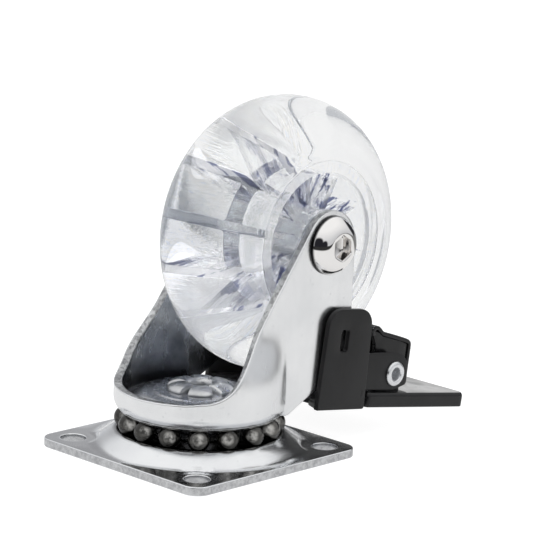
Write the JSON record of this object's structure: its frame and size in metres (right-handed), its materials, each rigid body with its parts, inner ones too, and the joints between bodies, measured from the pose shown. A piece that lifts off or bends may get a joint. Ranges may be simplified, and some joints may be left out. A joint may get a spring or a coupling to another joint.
{
  "type": "swivel caster wheel with foot brake",
  "caption": "Swivel plate caster with a clear round-tread wheel in a pressed fork, ball swivel race and a black foot-pedal brake behind the wheel.",
  "frame": {"origin": "centre of the mounting plate's flat face, on the swivel axis", "axes": "the mounting face is the floor of the frame and +Z points from it to the wheel, so +Z is down when the caster hangs under a chair; the axle runs along Y with the bolt head at -Y; the wheel trails and the brake pedal points along +X"},
  "size_m": [0.1155, 0.0621, 0.0937],
  "materials": {
    "zinc_plate": "bright zinc plated sheet",
    "zinc_fork": "bright zinc plated sheet, softly brushed",
    "zinc_rivet": "bright zinc plated",
    "zinc_washer": "zinc plated, lightly greased",
    "greased_steel": "dark greased steel balls",
    "clear_tread": "clear polyurethane, glossy",
    "clear_core": "clear polycarbonate, glossy",
    "bush_plastic": "translucent acetal",
    "spacer_steel": "zinc plated",
    "sleeve_steel": "drawn tube",
    "bolt_chrome": "polished",
    "nut_zinc": "zinc plated",
    "nylon_blue": "moulded nylon",
    "black_coat": "satin black paint",
    "black_gloss": "gloss black paint",
    "black_gloss_shoe": "gloss black paint",
    "spring_steel": "blued spring steel"
  },
  "bodies": {
    "plate": {"top_plate": "zinc_plate", "kingpin": "zinc_rivet", "race_washer": "zinc_washer"},
    "balls": {"outer_swivel_balls": "greased_steel", "inner_swivel_balls": "greased_steel"},
    "fork": {"fork": "zinc_fork", "axle_bolt": "bolt_chrome", "axle_washer": "spacer_steel", "axle_nut": "nut_zinc", "nut_locking_ring": "nylon_blue", "axle_sleeve": "sleeve_steel", "hub_spacers": "spacer_steel", "brake_bracket": "black_coat", "pedal_pivot_rivet": "zinc_rivet", "detent_spring": "spring_steel"},
    "wheel": {"wheel_tread": "clear_tread", "wheel_core": "clear_core", "hub_bushes": "bush_plastic"},
    "pedal": {"brake_pedal": "black_gloss", "brake_shoe": "black_gloss_shoe", "shoe_rivets": "zinc_rivet"}
  },
  "joints": [
    {"name": "swivel", "type": "hinge", "parent": "plate", "child": "fork", "pos_m": [0, 0, 0], "axis": [0, 0, 1], "continuous": true},
    {"name": "ball_orbit", "type": "hinge", "parent": "plate", "child": "balls", "pos_m": [0, 0, 0], "axis": [0, 0, 1], "continuous": true},
    {"name": "wheel_spin", "type": "hinge", "parent": "fork", "child": "wheel", "pos_m": [0.027, 0, 0.0563], "axis": [0, 1, 0], "continuous": true},
    {"name": "brake_pedal_hinge", "type": "hinge", "parent": "fork", "child": "pedal", "pos_m": [0.0552, 0, 0.0164], "axis": [0, -1, 0], "range_deg": [0, 18]}
  ],
  "couplings": [
    {"joint": "ball_orbit", "follows": "swivel", "ratio": 0.5}
  ]
}
